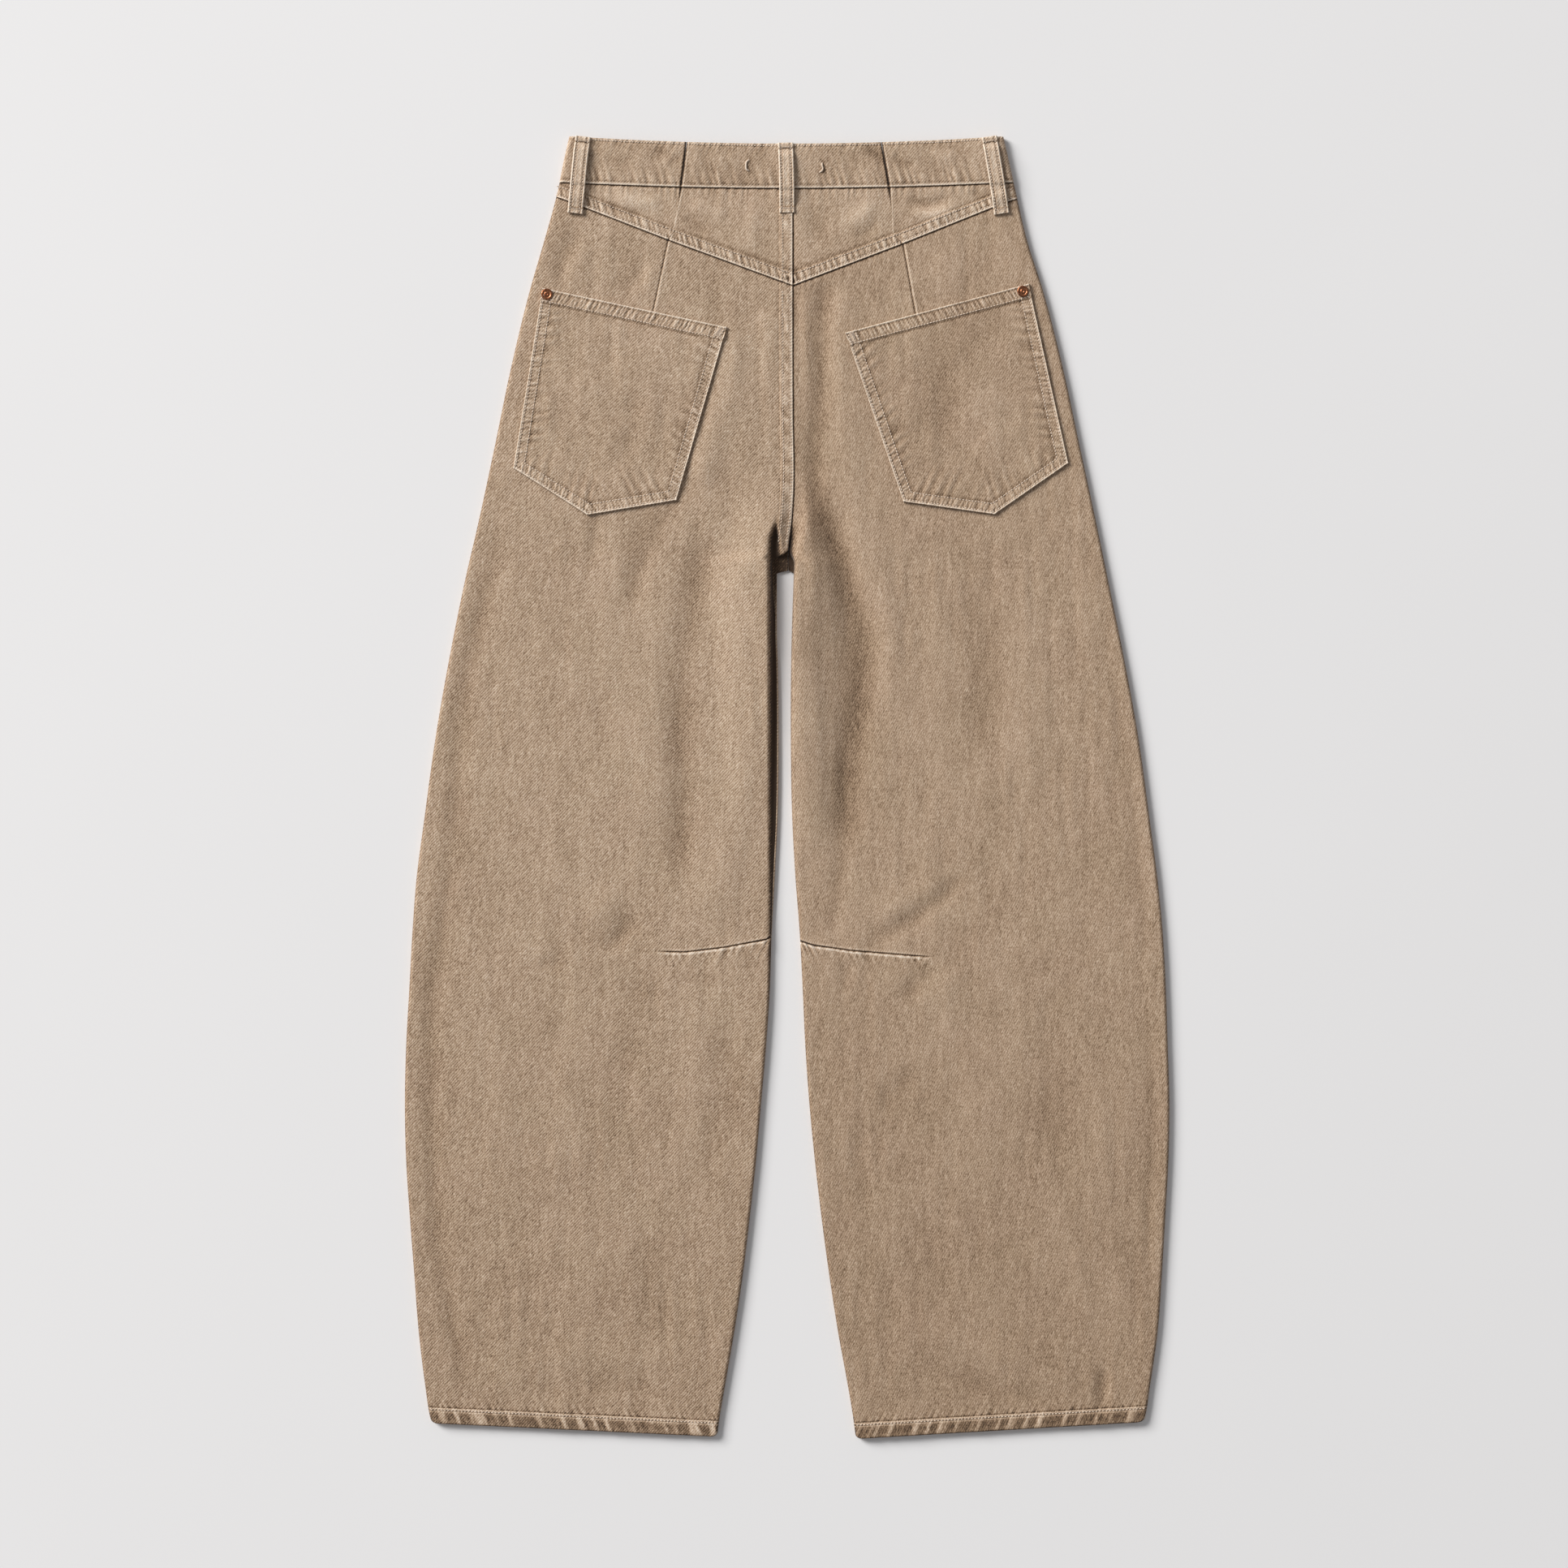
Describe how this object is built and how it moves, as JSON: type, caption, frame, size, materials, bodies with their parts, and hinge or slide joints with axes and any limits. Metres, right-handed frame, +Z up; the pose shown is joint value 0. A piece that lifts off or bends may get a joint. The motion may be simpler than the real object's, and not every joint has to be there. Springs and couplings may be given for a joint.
{
  "type": "barrel leg trousers",
  "caption": "Washed denim trousers with wide bowed legs, back yoke, patch pockets, belt loops and knee darts, lying flat with the back up.",
  "frame": {"origin": "on the surface that the trousers lie on, below the middle of the whole garment", "axes": "+X to the right as seen with the back up and the waist away, +Y from the hems to the waist, +Z up from the surface"},
  "size_m": [0.6127, 1.0437, 0.0099],
  "materials": {
    "denim": "washed tan cotton twill, matt with a faint nap",
    "copper": "aged copper, satin"
  },
  "bodies": {
    "root": {"back_left": "denim", "back_right": "denim", "front_left": "denim", "front_right": "denim", "yoke_side_left": "denim", "yoke_centre_left": "denim", "yoke_centre_right": "denim", "yoke_side_right": "denim", "waistband_back": "denim", "waistband_left": "denim", "waistband_right": "denim", "belt_loop_left": "denim", "belt_loop_centre": "denim", "belt_loop_right": "denim", "pocket_left": "denim", "pocket_right": "denim", "fly": "denim", "rivet_left": "copper", "rivet_right": "copper", "button": "copper"}
  },
  "joints": []
}
